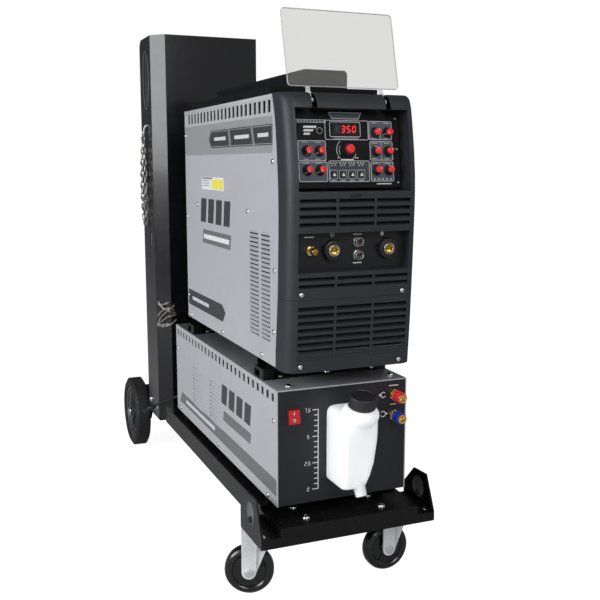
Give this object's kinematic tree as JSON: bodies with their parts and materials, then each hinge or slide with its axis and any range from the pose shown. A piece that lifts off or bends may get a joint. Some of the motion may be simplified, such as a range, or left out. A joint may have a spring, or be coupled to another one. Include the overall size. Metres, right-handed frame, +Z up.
{
  "type": "TIG welder",
  "caption": "Water-cooled TIG welding power source on a coolant unit, mounted on a wheeled cart with a channel rack and shelf for a gas bottle.",
  "frame": {"origin": "middle of the footprint box on the floor", "axes": "+X to the right seen from the front panel, +Y to the bottle rack at the rear, +Z up"},
  "size_m": [0.385, 1.2752, 1.1368],
  "materials": {
    "cart_black": "gloss black powder coat",
    "panel_grey": "satin light grey paint",
    "moulded_black": "fine grained",
    "panel_dark": "satin overlay",
    "button_black": "fine grained",
    "rubber_black": "matt",
    "zinc": "bright zinc plate",
    "steel": "turned",
    "brass": "turned",
    "red": "glossy",
    "blue": "glossy",
    "white": "translucent moulding",
    "clear": "polished clear sheet",
    "aluminium": "extruded"
  },
  "bodies": {
    "machine": {"cart_frame": "cart_black", "bottle_rack": "cart_black", "bottle_shelf": "cart_black", "cooler_tray": "cart_black", "cooler_front_panel": "cart_black", "mounting_frame": "cart_black", "welder_chassis": "cart_black", "cooler_cover": "panel_grey", "left_side_panel": "panel_grey", "right_side_panel": "panel_grey", "upper_fascia": "moulded_black", "lower_fascia": "moulded_black", "top_cover": "moulded_black", "control_panel": "panel_dark", "lead_plug": "button_black", "control_lead": "rubber_black", "castor_plate_left": "zinc", "castor_plate_right": "zinc", "bottle_chain": "zinc", "lower_chain": "zinc", "rear_axle": "steel", "control_sockets": "steel", "coolant_pump": "steel", "negative_socket": "brass", "positive_socket": "brass", "gas_outlet": "brass", "red_coupling": "brass", "blue_coupling": "brass", "filler_bottle": "white", "coolant_tank": "white", "radiator": "aluminium", "inverter_module": "aluminium"},
    "clear_cover": {"clear_cover": "clear"},
    "main_knob": {"main_knob": "red"},
    "rocker_switch": {"rocker_switch": "red"},
    "filler_cap": {"filler_cap": "button_black"},
    "red_collar": {"red_collar": "red"},
    "blue_collar": {"blue_collar": "blue"},
    "castor_swivel_left": {"castor_fork_left": "zinc"},
    "castor_swivel_right": {"castor_fork_right": "zinc"},
    "castor_roller_left": {"castor_wheel_left": "rubber_black"},
    "castor_roller_right": {"castor_wheel_right": "rubber_black"},
    "rear_roller_left": {"rear_wheel_left": "rubber_black"},
    "rear_roller_right": {"rear_wheel_right": "rubber_black"},
    "cooler_rotor": {"cooler_fan": "button_black"},
    "welder_rotor": {"welder_fan": "button_black"},
    "knob_l1": {"knob_l1": "red"},
    "knob_l2": {"knob_l2": "red"},
    "knob_l3": {"knob_l3": "red"},
    "knob_l4": {"knob_l4": "red"},
    "knob_r1": {"knob_r1": "red"},
    "knob_r2": {"knob_r2": "red"},
    "knob_r3": {"knob_r3": "red"},
    "knob_r4": {"knob_r4": "red"},
    "knob_r5": {"knob_r5": "red"},
    "knob_r6": {"knob_r6": "red"},
    "button_1": {"button_1": "button_black"},
    "button_2": {"button_2": "button_black"},
    "button_3": {"button_3": "button_black"},
    "button_4": {"button_4": "button_black"}
  },
  "joints": [
    {"name": "cover_hinge", "type": "hinge", "parent": "machine", "child": "clear_cover", "pos_m": [0.00498, -0.55478, 0.926], "axis": [1, 0, 0], "range_deg": [0, 182]},
    {"name": "main_knob_turn", "type": "hinge", "parent": "machine", "child": "main_knob", "pos_m": [0.00498, -0.54978, 0.843], "axis": [0, -0.9925, 0.1219], "continuous": true},
    {"name": "knob_l1_turn", "type": "hinge", "parent": "machine", "child": "knob_l1", "pos_m": [-0.07102, -0.55002, 0.84101], "axis": [0, -0.9925, 0.1219], "range_deg": [-140, 140]},
    {"name": "knob_l2_turn", "type": "hinge", "parent": "machine", "child": "knob_l2", "pos_m": [-0.04702, -0.55002, 0.84101], "axis": [0, -0.9925, 0.1219], "range_deg": [-140, 140]},
    {"name": "knob_l3_turn", "type": "hinge", "parent": "machine", "child": "knob_l3", "pos_m": [-0.07102, -0.55404, 0.80826], "axis": [0, -0.9925, 0.1219], "range_deg": [-140, 140]},
    {"name": "knob_l4_turn", "type": "hinge", "parent": "machine", "child": "knob_l4", "pos_m": [-0.04702, -0.55404, 0.80826], "axis": [0, -0.9925, 0.1219], "range_deg": [-140, 140]},
    {"name": "knob_r1_turn", "type": "hinge", "parent": "machine", "child": "knob_r1", "pos_m": [0.06198, -0.546, 0.87377], "axis": [0, -0.9925, 0.1219], "range_deg": [-140, 140]},
    {"name": "knob_r2_turn", "type": "hinge", "parent": "machine", "child": "knob_r2", "pos_m": [0.08598, -0.546, 0.87377], "axis": [0, -0.9925, 0.1219], "range_deg": [-140, 140]},
    {"name": "knob_r3_turn", "type": "hinge", "parent": "machine", "child": "knob_r3", "pos_m": [0.06198, -0.55002, 0.84101], "axis": [0, -0.9925, 0.1219], "range_deg": [-140, 140]},
    {"name": "knob_r4_turn", "type": "hinge", "parent": "machine", "child": "knob_r4", "pos_m": [0.08598, -0.55002, 0.84101], "axis": [0, -0.9925, 0.1219], "range_deg": [-140, 140]},
    {"name": "knob_r5_turn", "type": "hinge", "parent": "machine", "child": "knob_r5", "pos_m": [0.06198, -0.55404, 0.80826], "axis": [0, -0.9925, 0.1219], "range_deg": [-140, 140]},
    {"name": "knob_r6_turn", "type": "hinge", "parent": "machine", "child": "knob_r6", "pos_m": [0.08598, -0.55404, 0.80826], "axis": [0, -0.9925, 0.1219], "range_deg": [-140, 140]},
    {"name": "button_1_press", "type": "slide", "parent": "machine", "child": "button_1", "axis": [0, 0.9925, -0.1219], "range_m": [0, 0.0015], "stiffness_N_per_m": 400},
    {"name": "button_2_press", "type": "slide", "parent": "machine", "child": "button_2", "axis": [0, 0.9925, -0.1219], "range_m": [0, 0.0015], "stiffness_N_per_m": 400},
    {"name": "button_3_press", "type": "slide", "parent": "machine", "child": "button_3", "axis": [0, 0.9925, -0.1219], "range_m": [0, 0.0015], "stiffness_N_per_m": 400},
    {"name": "button_4_press", "type": "slide", "parent": "machine", "child": "button_4", "axis": [0, 0.9925, -0.1219], "range_m": [0, 0.0015], "stiffness_N_per_m": 400},
    {"name": "rocker_tilt", "type": "hinge", "parent": "machine", "child": "rocker_switch", "pos_m": [-0.09352, -0.54548, 0.371], "axis": [1, 0, 0], "range_deg": [0, 22]},
    {"name": "filler_cap_turn", "type": "hinge", "parent": "machine", "child": "filler_cap", "pos_m": [0.01398, -0.60278, 0.3938], "axis": [0, -0.2419, 0.9703], "range_deg": [0, 360]},
    {"name": "red_collar_slide", "type": "slide", "parent": "machine", "child": "red_collar", "axis": [0, 1, 0], "range_m": [0, 0.006], "stiffness_N_per_m": 600},
    {"name": "blue_collar_slide", "type": "slide", "parent": "machine", "child": "blue_collar", "axis": [0, 1, 0], "range_m": [0, 0.006], "stiffness_N_per_m": 600},
    {"name": "castor_swivel_left_turn", "type": "hinge", "parent": "machine", "child": "castor_swivel_left", "pos_m": [-0.12902, -0.45278, 0.12], "axis": [0, 0, 1], "continuous": true},
    {"name": "castor_roll_left", "type": "hinge", "parent": "castor_swivel_left", "child": "castor_roller_left", "pos_m": [-0.14571, -0.44604, 0.048], "axis": [0.3746, 0.9272, 0], "continuous": true},
    {"name": "castor_swivel_right_turn", "type": "hinge", "parent": "machine", "child": "castor_swivel_right", "pos_m": [0.16098, -0.45578, 0.12], "axis": [0, 0, 1], "continuous": true},
    {"name": "castor_roll_right", "type": "hinge", "parent": "castor_swivel_right", "child": "castor_roller_right", "pos_m": [0.14299, -0.45641, 0.048], "axis": [-0.0349, 0.9994, 0], "continuous": true},
    {"name": "rear_roll_left", "type": "hinge", "parent": "machine", "child": "rear_roller_left", "pos_m": [-0.15242, 0.53892, 0.0987], "axis": [1, 0, 0], "continuous": true},
    {"name": "rear_roll_right", "type": "hinge", "parent": "machine", "child": "rear_roller_right", "pos_m": [0.16238, 0.53892, 0.0987], "axis": [1, 0, 0], "continuous": true},
    {"name": "cooler_fan_spin", "type": "hinge", "parent": "machine", "child": "cooler_rotor", "pos_m": [0.02498, 0.12522, 0.315], "axis": [0, 1, 0], "continuous": true},
    {"name": "welder_fan_spin", "type": "hinge", "parent": "machine", "child": "welder_rotor", "pos_m": [0.00498, 0.03722, 0.7], "axis": [0, 1, 0], "continuous": true}
  ]
}
